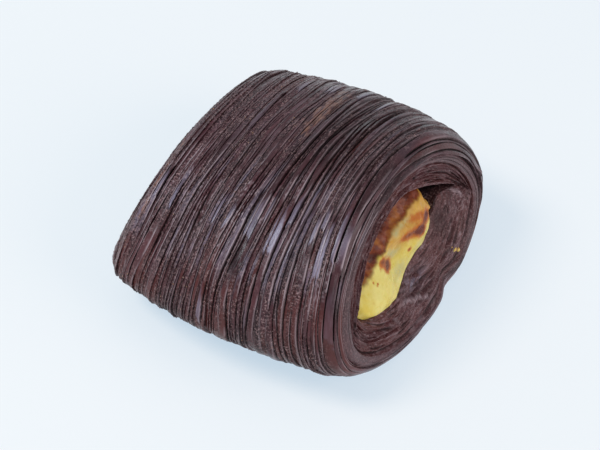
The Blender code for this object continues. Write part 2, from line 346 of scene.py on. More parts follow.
def mound(y, z, centre, radii):
    """1 at the centre, falling off to 0."""
    return np.exp(-(((y - centre[0]) / radii[0]) ** 2) - ((z - centre[1]) / radii[1]) ** 2)


def half_width_at(along):
    return HALF_WIDTH * (1 + WIDTH_TREND[0] * along + WIDTH_TREND[1] * along * along)


def height_at(along):
    return ROLL_HEIGHT * (1 + HEIGHT_TREND[0] * along + HEIGHT_TREND[1] * along * along)


def place(along, y, z, push=0.0):
    """Points of the roll, along the last axis. along is -1 at the far end and 1 at the near."""
    near = along > 0
    lean_y = np.where(near, NEAR_LEAN[0], FAR_LEAN[0])
    lean_z = np.where(near, NEAR_LEAN[1], FAR_LEAN[1])
    shift = lean_y * y + lean_z * (z - height_at(along) / 2)
    x = along * HALF_LENGTH + np.abs(along) * shift + push - BOX_MIDDLE
    return np.stack([x, y, np.maximum(z, 0.0)], -1)


def section(turn, along, inset=0.0):
    """The outline's (y, z). turn 0 is the far side, a quarter turn is the top."""
    half_width, height = half_width_at(along), height_at(along)
    widest = WIDEST_AT * height
    cosine, sine = np.cos(turn), np.sin(turn)
    power = 2 / ROUNDNESS
    y = half_width * np.sign(cosine) * np.abs(cosine) ** power
    reach = np.where(sine >= 0, height - widest, widest + BASE_CUT)
    z = np.sign(sine) * np.abs(sine) ** power * reach
    return y * (1 - inset / half_width), widest + z * (1 - inset / (0.5 * height))


def spread_shares():
    """Shares of a turn for the grids' columns."""
    fine = np.linspace(-0.25, 0.75, 4001)
    y, z = section(2 * math.pi * fine, 0.0)
    z = np.maximum(z, 0.0)
    steps = np.hypot(np.diff(y), np.diff(z)) * np.where(z[:-1] < BASE_LEVEL, BASE_WEIGHT, 1.0)
    lengths = np.concatenate([[0], np.cumsum(steps)])
    return np.interp(np.arange(AROUND) / AROUND * lengths[-1], lengths, fine)


SHARES = spread_shares()
TURNS = 2 * math.pi * SHARES


def layer_edges():
    draw = random.Random(LAYER_SEED)
    widths = [draw.triangular(*LAYER_WIDTHS) for _ in range(LAYERS)]
    scale = 2 * PATH_HALF / sum(widths)
    return -PATH_HALF + scale * np.concatenate([[0], np.cumsum(widths)])


def uneven(turn, row, reach):
    """The solids' own smooth noise, from about -1 to 1."""

    def one(t, r):
        return 2 * noise.noise(Vector((reach * math.cos(t), reach * math.sin(t), r)))

    return np.vectorize(one)(turn, row)


def drifted(path, turn):
    """Where a place on the path ends up, once the layers sweep and wander."""
    edge = 1 - (path / PATH_HALF) ** 2
    path = path - LAYER_SWEEP * edge * np.cos(turn)
    return path + LAYER_WANDER * edge * uneven(turn, path / WANDER_LENGTH, WANDER_REACH)


def wrap_xyz(path, turn, height):
    """Points of the wrap from drifted places on the path; height is off the mean skin."""
    bend = np.maximum(np.abs(path) - PATH_STRAIGHT, 0.0) / PATH_ARC * math.pi / 2
    side = np.sign(path)
    bent = side * (PATH_STRAIGHT + END_RADIUS * np.sin(bend)) / HALF_LENGTH
    along = np.where(bend > 0, bent, path / HALF_LENGTH)
    inset = END_SQUASH * END_RADIUS * (1 - np.cos(bend)) - height * np.cos(bend)
    y, z = section(turn, along, inset)
    return place(along, y, z, side * height * np.sin(bend))


def dented(points):
    middle, reach, push = DENT
    return points + push * np.exp(-(((points - middle) / reach) ** 2).sum(-1))[..., None]


def sheet_gaps():
    """(places, openings) of the gaps between sheets. Between two layers of the solids a gap can
    open fully, inside a layer less."""
    draw = random.Random(SHEET_SEED)
    edges = layer_edges()
    places, openings = [], []
    for start, end in zip(edges, edges[1:]):
        count = max(1, round((end - start) / SHEET_WIDTH + draw.uniform(-0.5, 0.5)))
        if start > SMOOTH_FROM[0]:
            count = 1
        for k in range(count):
            stray = draw.uniform(-SHEET_STRAY, SHEET_STRAY) if k else 0.0
            places.append(start + (end - start) * (k + stray) / count)
            openings.append(draw.uniform(*(INNER_OPENING if k else LAYER_OPENING)))
    return np.array(places + [edges[-1]]), np.array(openings + [1.0])


def from_spot(path, around, spot):
    """How far places on the path are from a spot's middle: across it and along it, in its own
    half sizes."""
    at, degrees, half_width, half_degrees = spot
    across = (path - at) / half_width
    return across, ((around * 360 - degrees + 180) % 360 - 180) / half_degrees


def raise_to(field, part, values):
    field[part] = np.maximum(field[part], values)


def shining(places):
    """(how far the sheets' tops lie flat and shine, how strongly a bluish sheen is painted there,
    how far that opens each gap, and shuts it). A stretch has torn ends and narrows to its upper
    one."""
    share, around = np.array(TOP_SHARES)[:, None], SHARES[None]
    on, blue_sheen = np.zeros((2, len(places) - 1, len(TOP_SHARES), AROUND))
    opened, shut = np.zeros((2, len(places), AROUND))
    ragged = Waves(seed=50, rows=3 * len(SHINING), columns=190)
    for k, (at, degrees, reach, half_degrees, strength) in enumerate(SHINING):
        first, last = np.searchsorted(places, (at - reach, at + reach)) - 1
        tops, inner_gaps = slice(first, last + 1), slice(first + 1, last + 1)
        slant = 0.35 if k % 2 else -0.35
        narrow_side = share if k % 3 else 1 - share
        _, down = from_spot(at, around, (at, degrees, 1.0, half_degrees))
        down = down + slant * (share - 0.5)
        torn = 0.15 * ragged.at(3 * k + 2.5 * share, around)
        ends = smooth_step(1 - np.abs(down) + torn, 0, 0.1)
        taper = smooth_step(0.35 + 0.8 * smooth_step(down, -1, 0) - narrow_side, 0, 0.15)
        faded = strength * (0.15 + 0.85 * smooth_step(down, -1, 0.3))
        middle = ends[len(share) // 2]
        raise_to(on, tops, ends)
        raise_to(blue_sheen, tops, ends * taper * faded)
        raise_to(opened, first, 0.4 * middle)
        raise_to(opened, last + 1, 0.9 * middle)
        raise_to(shut, inner_gaps, middle)
    return on, blue_sheen, opened, shut


def path_noise(path, around, seed, rows, columns, length):
    """Noise at drifted places on the path, in waves of this length."""
    return Waves(seed, rows, columns).at(path / length, around)


def streaks(path, around):
    """How light brown the wrap is at places on the path, from 0 to 1."""
    ragged = path_noise(path, around, seed=53, rows=60, columns=190, length=0.9 * MM)
    light = 0 * path
    for *spot, strength in STREAKS:
        across, down = from_spot(path, around, spot)
        here = strength * smooth_step(1 - np.abs(down) + 0.35 * ragged, 0, 0.4)
        light = np.maximum(light, here * smooth_step(1 - np.abs(across) + 0.7 * ragged, 0, 0.7))
    return light


def skin_fields(path, around, sheet, sheets):
    """How crumbly and how red the wrap is at drifted places of these sheets, from 0 to 1."""
    low = band(around, *LOW_SIDE)
    far = 1 - smooth_step(path, *FAR_UNTIL)
    rough = 0.3 * Waves(seed=18, rows=sheets + 1, columns=22).at(sheet, around)
    rough = rough + 0.65 * path_noise(path, around, seed=37, rows=20, columns=22, length=3 * MM)
    rough = rough + 0.75 * path_noise(path, around, seed=19, rows=90, columns=90, length=0.6 * MM)
    rough = rough + 0.2 * far - 0.15 * bell(around, *SHOULDER) + 0.1 * low + 0.1
    rough = smooth_step(rough, -0.6, 0.8) * (1 - 0.85 * smooth_step(path, *SMOOTH_FROM))
    red = 0.8 * path_noise(path, around, seed=26, rows=12, columns=8, length=6 * MM)
    red = red + 0.5 * Waves(seed=27, rows=sheets + 1, columns=18).at(sheet, around)
    return rough, smooth_step(red + 0.55 * low - 0.3, -0.1, 0.7)


def wrap_fields():
    """(points, attributes) of the wrap, as a grid of rows from end to end by places round it."""
    places, openings = sheet_gaps()
    sheets = len(places) - 1
    gap, sheet = np.arange(sheets + 1)[:, None], np.arange(sheets)[:, None]
    around, turn = SHARES[None], TURNS[None]

    def gap_noise(seed, columns):
        return Waves(seed, sheets + 1, columns).at(gap, around)

    def sheet_noise(seed, columns):
        return Waves(seed, sheets, columns).at(sheet, around)

    # The gaps: where they run, and how wide and deep they open
    widths = np.diff(places)
    room = np.minimum(np.append(widths, widths[-1]), np.insert(widths, 0, widths[0]))[:, None]
    sway = room * SHEET_SWAY
    sway[0] = sway[-1] = 0.0
    place_of_gap = places[:, None] + sway * gap_noise(31, columns=12)
    gap_path = drifted(place_of_gap, turn)
    crown, low = bell(around, *CROWN), band(around, *LOW_SIDE)
    toward_near = smooth_step(gap_path, *NEAR_FROM)
    covered, blue_sheen, shine_opens, shine_shuts = shining(places)
    wave = 0.7 * gap_noise(32, columns=26) + 0.85 * gap_noise(33, columns=8)
    wave = wave + (0.4 + 0.3 * crown) * toward_near
    held = (1 - toward_near) * (0.5 + 0.47 * crown) + 0.35 * low * toward_near
    opened = openings[:, None] * smooth_step(wave, -0.2, 0.6) * (1 - held)
    opened = np.maximum(opened * (1 - shine_shuts), shine_opens)
    half = np.minimum(GAP_HALF_WIDTH[0] + GAP_HALF_WIDTH[1] * opened, 0.21 * room)
    depth = (GAP_DEPTH[0] + GAP_DEPTH[1] * opened) * np.clip(room / FULL_SHEET, 0.35, 1)

    # The sheets' jagged edges, and the rows over their tops
    rough_gap, _ = skin_fields(gap_path, around, gap, sheets)
    jag = JAG * (0.25 + 0.75 * rough_gap) * np.clip(room / FULL_JAG, 0.2, 1)
    first = place_of_gap[:-1] + GAP_TOP * half[:-1]
    first = first + (jag * np.clip(gap_noise(22, columns=210), 0, 1))[:-1]
    last = place_of_gap[1:] - GAP_TOP * half[1:]
    last = last - (jag * np.clip(gap_noise(23, columns=210), 0, 1))[1:]
    share = np.array(TOP_SHARES)[None, :, None]
    path = first[:, None] + share * (last - first)[:, None]
    top_path = drifted(path, turn[None])

    # How each sheet lifts and tilts, and its crumbs
    full = np.clip((last - first) / FULL_SHEET, 0.25, 1.3)
    calm = (1 - 0.55 * crown * (1 - toward_near))[:-1]
    tilt = 0.35 + 1.1 * sheet_noise(13, columns=8) + 0.3 * sheet_noise(34, columns=40)
    tilt = calm * (full * tilt)
    layer = np.searchsorted(layer_edges(), places[:-1] + 1e-6)[:, None]
    lift = SHEET_LIFT * (sheet_noise(14, columns=10) + 0.35 * sheet_noise(15, columns=44))
    lift = calm * (lift + LAYER_LIFT * Waves(35, LAYERS + 1, 8).at(layer, around))
    height = lift[:, None] + SHEET_TILT * tilt[:, None] * (share - 0.5) * (1 - 0.7 * covered)
    height = height - SHEET_BULGE * (2 * share - 1) ** 2 + SHINE_LIFT * covered
    across, down = from_spot(path, around, TUFT)
    height = height + TUFT_HEIGHT * np.exp(-(across**2) - down**2)
    rough, red = skin_fields(top_path, around, sheet[:, None], sheets)
    rough = rough * (1 - 0.9 * covered)
    crumbs = path_noise(top_path, around, seed=20, rows=190, columns=420, length=0.42 * MM)
    finer = path_noise(top_path, around, seed=21, rows=330, columns=700, length=0.24 * MM)
    crumbs = crumbs + 0.8 * finer
    height = height + CRUMB * crumbs * (0.12 + 0.88 * rough)

    def rows(start, start_foot, tops, end_foot, end):
        """The values of each sheet's gap, its wall's foot, its top and the next wall's foot."""
        grid = np.concatenate([start[:, None], start_foot[:, None], tops, end_foot[:, None]], 1)
        return np.concatenate([grid.reshape(-1, AROUND), end[None]])

    def over_gaps(tops, value=0.0):
        """The rows of an attribute that has this value in every gap."""
        floor = 0 * opened + value
        return rows(floor[:-1], floor[:-1], tops, floor[1:], floor[-1])

    start_foot = drifted(place_of_gap[:-1] + GAP_FLOOR * half[:-1], turn)
    end_foot = drifted(place_of_gap[1:] - GAP_FLOOR * half[1:], turn)
    all_path = rows(gap_path[:-1], start_foot, top_path, end_foot, gap_path[-1])
    foot = -FOOT_DEPTH * depth
    all_height = rows(-depth[:-1], foot[:-1], height, foot[1:], -depth[-1])
    points = wrap_xyz(all_path, turn, all_height)

    # The looks
    # Painted shade in the gaps, deeper the further each gap opens
    dark = 0.16 + 0.84 * smooth_step(opened, 0.08, 0.45)
    tone = 0.5 + 0.42 * sheet_noise(24, columns=14) + 0.2 * sheet_noise(25, columns=50)
    tone = tone + (0.12 * (1 - toward_near) - (0.36 * crown + 0.1 * low) * toward_near)[:-1]
    tone = np.clip(tone[:, None] + 0 * path, 0, 1)
    tan = streaks(path, around)
    sheen_side = band(around, *SHEEN_SIDE)
    edge = np.where(share > 0.85, 1.0, 0.0) + np.where(share < 0.05, 0.45, 0.0)
    # Edges are paler on random sheets, with painted glints added on the sheen side
    edge_wear_and_glint = smooth_step(sheet_noise(36, columns=36), -0.3, 0.5) * (0.6 + 0.9 * sheen_side)
    edge = edge * edge_wear_and_glint[:, None] * (calm - 0.4 * crown * toward_near[:-1])[:, None]
    # Painted glints on the tops of the grains, on the sheen side
    grain_glints = path_noise(top_path, around, seed=54, rows=20, columns=24, length=4 * MM)
    grain_glints = (0.15 + 0.85 * smooth_step(grain_glints, -0.1, 0.5)) * sheen_side * (1 - covered)
    grain_glints = grain_glints * (1 - smooth_step(top_path, *SMOOTH_FROM)) * smooth_step(crumbs, 0.35, 1)
    edge = np.clip(edge + grain_glints, 0, 1)
    # Painted bluish sheen: on random sheets, mostly on the sheen side, and on the shining stretches
    mauve = 0.5 * smooth_step(sheet_noise(52, columns=20), 0.2, 0.7)[:, None]
    mauve = np.maximum(mauve * (0.12 + 0.88 * sheen_side), blue_sheen) * (1 - tan)
    attributes = {
        "gap": rows(dark[:-1], dark[:-1], 0 * path, dark[1:], dark[-1]),
        "edge": over_gaps(edge),
        # The gaps also get a low tone, as part of their painted shade
        "tone": over_gaps(tone, 0.3),
        "rough": over_gaps(rough, 0.8),
        "red": over_gaps(red, 0.3),
        "tan": over_gaps(tan),
        "mauve": over_gaps(mauve),
        "grain": grain(all_path),
    }
    return points, attributes


def grain(across):
    """Places for the fine streaks: metres across the sheets, and along them."""
    return np.stack([across, np.broadcast_to(SHARES * GIRTH, across.shape), 0 * across], -1)


def closed_curve(points, steps):
    """A Catmull-Rom curve through the points, which closes on itself."""
    points = np.array(points)
    before, after = np.roll(points, 1, 0), np.roll(points, -1, 0)
    beyond = np.roll(points, -2, 0)
    t = (np.arange(steps) / steps)[None, :, None]
    p, q, r, s = (v[:, None, :] for v in (before, points, after, beyond))
    curve = 0.5 * (
        2 * q + (r - p) * t + (2 * p - 5 * q + 4 * r - s) * t * t + (3 * q - p - 3 * r + s) * t**3
    )
    return curve.reshape(-1, 2)


def spaced(curve, shares):
    """Points at these shares of the closed curve's length."""
    closed = np.vstack([curve, curve[:1]])
    lengths = np.concatenate([[0], np.cumsum(np.linalg.norm(np.diff(closed, axis=0), axis=1))])
    targets = (shares % 1.0) * lengths[-1]
    return np.stack([np.interp(targets, lengths, closed[:, k]) for k in (0, 1)], -1)


def narrowed(ring):
    """The bore's outline past the slit: what lies beyond the cream's reach is pulled in."""
    y, z = ring[:, 0], ring[:, 1] + TIP_RISE * np.maximum(ring[:, 0] - TIP_START, 0.0)
    held = CREAM_REACH + REACH_SOFTNESS * (y - CREAM_REACH)
    return np.stack([np.where(y > CREAM_REACH, held, y), z], -1)


def moved_inward(ring, gap):
    way = np.roll(ring, -1, 0) - np.roll(ring, 1, 0)
    inward = np.stack([-way[:, 1], way[:, 0]], -1)
    return ring + gap * inward / np.linalg.norm(inward, axis=1, keepdims=True)


def fitted(y, z, along):
    """The near end's mouth, scaled to the section at this place along the roll."""
    wide = half_width_at(along) / half_width_at(1.0)
    high = height_at(along) / height_at(1.0)
    return y * wide, z * high


def at_depth(side, depth):
    return side * (1 - depth / HALF_LENGTH)


def from_line(y, z, line):
    """(distance, side, share along) of points from a line of straight stretches. side is positive
    to the left of its direction."""
    nearest, left, share = np.full(y.shape, np.inf), 0 * y, 0 * y
    for k, (start, end) in enumerate(zip(line, line[1:])):
        way = np.subtract(end, start)
        length = math.hypot(*way)
        t = ((y - start[0]) * way[0] + (z - start[1]) * way[1]) / length**2
        held = np.clip(t, 0, 1)
        off_y, off_z = y - start[0] - held * way[0], z - start[1] - held * way[1]
        away = np.hypot(off_y, off_z)
        closer = away < nearest
        nearest = np.where(closer, away, nearest)
        left = np.where(closer, np.sign(way[0] * off_z - way[1] * off_y), left)
        share = np.where(closer, (k + held) / (len(line) - 1), share)
    return nearest, left, share


def near_marks(y, z, turn):
    """(depth, tint) that the near end's own marks add: a fold, a recess, pleats and the curled
    end of the inner coil. The tint is positive where lighter; its negative part is painted shade,
    behind the fold, in the recess, in the shaded hollow and in the pleats' creases."""
    away, left, share = from_line(y, z, FOLD)
    fade = band(share, (0.0, 0.12), (0.75, 1.0))
    behind = smooth_step(away * left, -0.1 * MM, 0.2 * MM) * np.exp(-away / FOLD_WIDTH)
    depth = FOLD_DEPTH * fade * behind
    crest = bell(away * left, -0.2 * MM, CREST_WIDTH)
    # The fold's crest is lighter, and painted shade lies behind the fold
    tint = 1.3 * fade * crest - 0.7 * fade * behind
    away, _, share = from_line(y, z, CURL)
    ridge = band(share, (0.0, 0.1), (0.8, 1.0)) * bell(away, 0, CURL_WIDTH)
    depth = depth - CURL_HEIGHT * ridge
    tint = tint + 0.8 * ridge
    # The recess and the shaded hollow also get painted shade
    for (centre, radii, deep), painted_shade in ((RECESS, 0.2), (SHADED, 0.9)):
        here = mound(y, z, centre, radii)
        depth = depth + deep * MM * here
        tint = tint - painted_shade * here
    centre, radii, deep = PLEATS
    waves = 0.5 + 0.5 * np.cos(PLEAT_WAVES * turn + 3 * np.sin(9 * turn))
    crease = waves**3 * mound(y, z, centre, radii)
    # The pleats' creases get painted shade
    return depth + deep * MM * crease, tint - 0.9 * crease


def ring_at(ring, side, depth):
    """A ring inside the near end's mouth, moved to this depth inside an end."""
    along = at_depth(side, depth)
    return place(along + 0 * ring[:, 0], *fitted(*ring.T, along))


def end_fields(side, seam):
    """(points, attributes) of one end: the rim, the layered face, the mouth and the bore. seam is
    the wrap's last row of points there."""
    around, turn = SHARES, TURNS
    seed = 140 if side > 0 else 160
    mouth = spaced(closed_curve(MOUTH, CURVE_STEPS), around)
    rows, attributes = [], {key: [] for key in DOUGH_TAGS}

    def add(points, inward, **values):
        rows.append(points)
        lengths = inward + 0 * around, around * GIRTH * 0.7, 0 * around + 0.1 * side
        values["grain"] = np.stack(lengths, -1)
        for name in attributes:
            value = np.asarray(values.get(name, 0.0))
            shape = (AROUND, 3) if name == "grain" else (AROUND,)
            attributes[name].append(np.broadcast_to(value, shape))

    # The rim, which starts at the wrap's last row
    rim_y, rim_z = section(turn, float(side))
    widest = WIDEST_AT * height_at(side)
    rim_y, rim_z = rim_y * RIM_INNER, widest + (rim_z - widest) * RIM_INNER
    start_y, start_z = section(turn, float(side), END_SQUASH * END_RADIUS)
    way_y, way_z = rim_y - start_y, rim_z - start_z
    rim_span = np.hypot(way_y, way_z)
    arcs = (
        (0.3, Waves(seed, 1, 14).at(0, around)),
        (0.62, Waves(seed + 1, 1, 11).at(0, around)),
    )
    swell, grit = Waves(seed + 2, 9, 26), Waves(seed + 8, 60, 300)
    for share in np.linspace(0, 1, RIM_ROWS + 1)[:-1]:
        line = sum(
            smooth_step(wave, -0.35, 0.4) * bell(share - centre, 0.07 * wave, 0.035)
            for centre, wave in arcs
        )
        depth = RIM_FALL * share - RIM_CROWN * math.sin(math.pi * share)
        depth = depth + RIM_SWELL * swell.at(share * 4, around)
        depth = depth + RIM_GRIT * grit.at(share * 14, around) + RIM_LINE * line
        points = place(at_depth(side, depth), start_y + way_y * share, start_z + way_z * share)
        if share == 0:
            step = seam - points
        points = points + step * (1 - share) ** 4
        tone = 0.55 + 0.2 * swell.at(share * 2 + 4, around)
        # The two lines round the rim get painted shade
        add(points, share * rim_span, gap=0.85 * line, tone=tone, rough=0.35, edge=0.1, red=0.12)

    # The face, from the rim to the mouth
    knots = np.array(RIM_TO_MOUTH)
    mouth_y, mouth_z = fitted(*mouth.T, float(side))
    span = np.hypot(mouth_y - rim_y, mouth_z - rim_z)
    cut_waves, cut_sway = Waves(seed + 3, 60, 26), Waves(seed + 5, 9, 8)
    fine_waves, coarse_waves = Waves(seed + 4, 160, 110), Waves(seed + 9, 60, 40)
    red_waves = Waves(seed + 7, 8, 12)
    for share in np.linspace(0, 1, FACE_ROWS):
        inward = share * span
        lump = uneven(turn, LUMP_ROWS * share + side, LUMP_REACH)
        lump = END_FACE_LUMP * lump * math.sin(math.pi * share)
        base = np.interp(share, knots[:, 0], knots[:, 1])
        line = inward / CUT_GAP + 0.8 * cut_sway.at(share * 3, around)
        nearest = np.round(line)
        opened = smooth_step(cut_waves.at(nearest, around), -0.2, 0.4)
        cut = bell(np.abs(line - nearest) * CUT_GAP, 0, CUT_WIDTH) * opened
        cut = cut * smooth_step(inward, *CUTS_FROM)
        fine = fine_waves.at(inward / FINE_SIZE, around)
        coarse = coarse_waves.at(inward / COARSE_SIZE, around)
        depth = base * np.minimum(span / FULL_RELIEF_SPAN, 1.0) + lump
        depth = depth + CUT_DEPTH * cut + FINE_DEPTH * fine + COARSE_DEPTH * coarse
        tint = mauve = 0 * around
        if side > 0:
            flat_y = rim_y + (mouth_y - rim_y) * share
            flat_z = rim_z + (mouth_z - rim_z) * share
            marks_depth, tint = near_marks(flat_y, flat_z, turn)
            depth = depth + marks_depth
            # A bluish sheen painted in streaks over the fibres
            mauve = mound(flat_y, flat_z, *FIBRE_SHEEN) * smooth_step(fine, -0.2, 0.5)
        along = at_depth(side, depth)
        here_y, here_z = fitted(*mouth.T, along)
        # Painted shade where the face meets the rim, and along the cuts between the layers
        groove_shade = bell(share, 0.05, 0.022)
        add(
            place(along, rim_y + (here_y - rim_y) * share, rim_z + (here_z - rim_z) * share),
            inward + rim_span,
            gap=np.clip(0.85 * cut + 0.9 * groove_shade - 0.6 * np.minimum(tint, 0), 0, 1),
            tone=np.clip(1.0 + 0.3 * coarse + 0.4 * fine + 0.4 * tint, 0, 1.2),
            edge=np.clip(0.9 * tint + 0.4 * smooth_step(fine, 0.2, 0.8), 0, 1),
            rough=0.4,
            mauve=mauve,
            red=np.clip(0.65 + 0.4 * red_waves.at(share * 4, around), 0, 1),
        )

    # The lip, as deep as the slit, and the bore behind it, with painted shade that deepens further
    # in
    lip_depth = knots[-1, 1]
    inner_shares = np.linspace(0, 1, BORE_ROWS + 1)[1:]
    for share in inner_shares:
        points = ring_at(mouth, side, lip_depth + share * (SLIT_DEPTH - lip_depth))
        add(points, 0.0, gap=0.5 * share, tone=0.25, rough=0.9, red=0.4)
    to_core = narrowed(mouth) - mouth
    for share in inner_shares:
        depth = SLIT_DEPTH + share * (BORE_DEPTH - SLIT_DEPTH)
        points = ring_at(mouth + to_core * share, side, depth)
        add(points, 0.0, gap=0.5 + 0.5 * share, tone=0.1, rough=0.9)
    return np.array(rows), {name: np.array(values) for name, values in attributes.items()}


def above_lip(y, z):
    return z - LIP_START[1] - LIP_RISE * (y - LIP_START[0])


def cream_depth(y, z):
    """How far the cream's front lies behind the end face, at a point of the near end's mouth."""
    above = above_lip(y, z)
    depth = CREAM_FRONT + LIP_FALL * (above + np.hypot(above, LIP_ROUNDING)) / 2
    for centre, radii, height in LUMPS + SWELLS:
        depth = depth - height * MM * mound(y, z, centre, radii)
    return depth


def marked(y, z, spots):
    """The strength of these marks at points of the near end."""
    return sum(strength * mound(y, z, centre, radii) for centre, radii, strength in spots)


def cream_end(side, ring):
    """(points, attributes) of the cream's front at one end, from its middle to the ring."""
    share = (np.linspace(0, 1, CREAM_ROWS) ** 0.85)[:, None]
    middle = ring.mean(0)
    y, z = (middle[k] + (ring[:, k] - middle[k])[None] * share for k in (0, 1))

    def noise_of(seed, size):
        return Waves(seed + side, 64, 64).at(y / size, z / size / 64)

    bumps = noise_of(80, 3.4 * MM) + 0.35 * noise_of(83, 1 * MM)
    upper = smooth_step(above_lip(y, z), 0, 3 * MM)
    lower = 1 - smooth_step(y, *LOWER_LOBE_UNTIL)
    depth = cream_depth(y, z) + CREAM_BUMPS * bumps * (1 - 0.6 * lower)
    depth = depth + CREAM_ROUNDING * smooth_step(share, 0.9, 1) ** 2
    depth = depth + CREAM_SKIN * upper * noise_of(86, 0.7 * MM)
    above = z - np.interp(y, *np.array(BROWN_ABOVE).T)
    above = above + (0.5 * bumps + 0.3 * noise_of(86, 0.9 * MM)) * MM
    depth = depth + BROWN_STEP * smooth_step(above, -0.4 * MM, 0.9 * MM)
    along = at_depth(side, depth)
    orange_y, orange_z = ORANGE_FROM
    tags = {
        "brown": smooth_step(above, -0.35 * MM, 0.35 * MM),
        "toast": marked(y, z, TOASTED),
        "pale": marked(y, z, PALE),
        "orange": smooth_step(y, *orange_y) * smooth_step(z + 0.6 * MM * bumps, *orange_z),
    }
    return place(along, *fitted(y, z, along)), tags


def cream_fields():
    """(points, attributes) of the cream, from the middle of its far end to that of its near end."""
    mouth = spaced(closed_curve(MOUTH, CURVE_STEPS), SHARES[::2])
    ring = moved_inward(narrowed(mouth), CREAM_GAP)
    (far_points, far), (near_points, near) = cream_end(-1, ring), cream_end(1, ring)
    inside = [ring_at(ring, side, BORE_DEPTH)[None] for side in (-1, 1)]
    points = np.concatenate([far_points, *inside, near_points[::-1]])
    none = np.zeros((len(inside), len(ring)))
    return points, {key: np.concatenate([far[key], none, near[key][::-1]]) for key in far}


def linked(name, data):
    """A new object of the scene."""
    made = bpy.data.objects.new(name, data)
    bpy.context.scene.collection.objects.link(made)
    return made


def new_piece(name, points, faces, attributes, finish):
    """A smooth mesh. Each attribute has one number or one vector for each point."""
    mesh = bpy.data.meshes.new(name)
    mesh.from_pydata(points, [], faces)
    for key, values in attributes.items():
        vector = values.ndim == 2
        layer = mesh.attributes.new(key, "FLOAT_VECTOR" if vector else "FLOAT", "POINT")
        flat = np.ascontiguousarray(values, np.float32).ravel()
        layer.data.foreach_set("vector" if vector else "value", flat)
    mesh.materials.append(finish)
    mesh.shade_smooth()
    return linked(name, mesh)


def grid_mesh(name, points, attributes, finish, part=slice(None), poles=False):
    """A mesh over this part of a grid of rows by places round the roll, each row closed on itself.
    With poles, the first and the last row are one point each."""
    points = points[part]
    rows, columns = points.shape[:2]
    index = np.arange(rows * columns).reshape(rows, columns)
    keep = np.ones(rows * columns, bool)
    if poles:
        keep[1:columns] = keep[-columns:-1] = False
        index[0], index[-1] = 0, rows * columns - 1
    new_index = np.cumsum(keep) - 1
    a, b = new_index[index[:-1]], new_index[index[1:]]
    faces = np.stack([a, np.roll(a, -1, 1), np.roll(b, -1, 1), b], -1).reshape(-1, 4).tolist()
    if poles:
        faces = [list(dict.fromkeys(face)) for face in faces]
    kept = {
        key: values[part].reshape(-1, *values.shape[2:])[keep]
        for key, values in attributes.items()
    }
    return new_piece(name, points.reshape(-1, 3)[keep], faces, kept, finish)


def crumb_mesh(name, spots, sizes, key, values, finish, seed):
    """Small uneven lumps, one at each spot, in one mesh. Its attribute key holds one value for
    each lump."""
    pattern = bmesh.new()
    bmesh.ops.create_icosphere(pattern, subdivisions=1, radius=1.0)
    corners = np.array([vert.co[:] for vert in pattern.verts])
    faces = np.array([[vert.index for vert in face.verts] for face in pattern.faces])
    pattern.free()
    rng = np.random.default_rng(seed)
    count = len(spots)
    lumps = corners[None] * rng.uniform(0.65, 1.15, (count, len(corners), 1))
    lumps = lumps * rng.uniform(0.55, 1.35, (count, 1, 3))
    points = np.asarray(spots)[:, None] + lumps * np.asarray(sizes)[:, None, None]
    faces = (faces[None] + (np.arange(count) * len(corners))[:, None, None]).reshape(-1, 3)
    tags = {key: np.repeat(values, len(corners))}
    return new_piece(name, points.reshape(-1, 3), faces.tolist(), tags, finish)


class Nodes:
    """Short calls for building one material's nodes."""

    def __init__(self, name):
        self.material = bpy.data.materials.new(name)
        self.material.use_nodes = True
        self.tree = self.material.node_tree
        self.inputs = self.tree.nodes["Principled BSDF"].inputs
        self.coordinates = self.new("TexCoord", {}).outputs["Object"]

    def put(self, socket, value):
        if isinstance(value, bpy.types.NodeSocket):
            self.tree.links.new(value, socket)
        else:
            socket.default_value = (*value, 1.0) if socket.type == "RGBA" else value

    def set(self, name, value):
        self.put(self.inputs[name], value)

    def new(self, kind, values, **settings):
        node = self.tree.nodes.new("ShaderNode" + kind)
        for key, value in settings.items():
            setattr(node, key, value)
        for key, value in values.items():
            self.put(node.inputs[key], value)
        return node

    def attribute(self, name, output="Fac"):
        return self.new("Attribute", {}, attribute_name=name).outputs[output]

    def noise(self, scale, detail, roughness, vector=None, stretch=None):
        node = self.new("TexNoise", {"Scale": scale, "Detail": detail, "Roughness": roughness})
        vector = vector or self.coordinates
        if stretch:
            mapping = self.new("Mapping", {"Scale": stretch, "Vector": vector})
            vector = mapping.outputs["Vector"]
        self.put(node.inputs["Vector"], vector)
        return node.outputs["Fac"]

    def math(self, operation, a, b, clamp=False):
        node = self.new("Math", {0: a, 1: b}, operation=operation, use_clamp=clamp)
        return node.outputs[0]

    def plus(self, a, b, clamp=False):
        return self.math("ADD", a, b, clamp)

    def times(self, a, b):
        return self.math("MULTIPLY", a, b)

    def ramp(self, value, low, high, to_low=0.0, to_high=1.0):
        ends = {"From Min": low, "From Max": high, "To Min": to_low, "To Max": to_high}
        return self.new("MapRange", {**ends, "Value": value}).outputs["Result"]

    def mix(self, factor, a, b):
        node = self.new("Mix", {"Factor": factor}, data_type="RGBA")
        first, second = (socket for socket in node.inputs if socket.type == "RGBA")
        self.put(first, a)
        self.put(second, b)
        return next(socket for socket in node.outputs if socket.type == "RGBA")

    def bump(self, height, distance, strength):
        node = self.new("Bump", {"Distance": distance, "Strength": strength, "Height": height})
        self.set("Normal", node.outputs["Normal"])


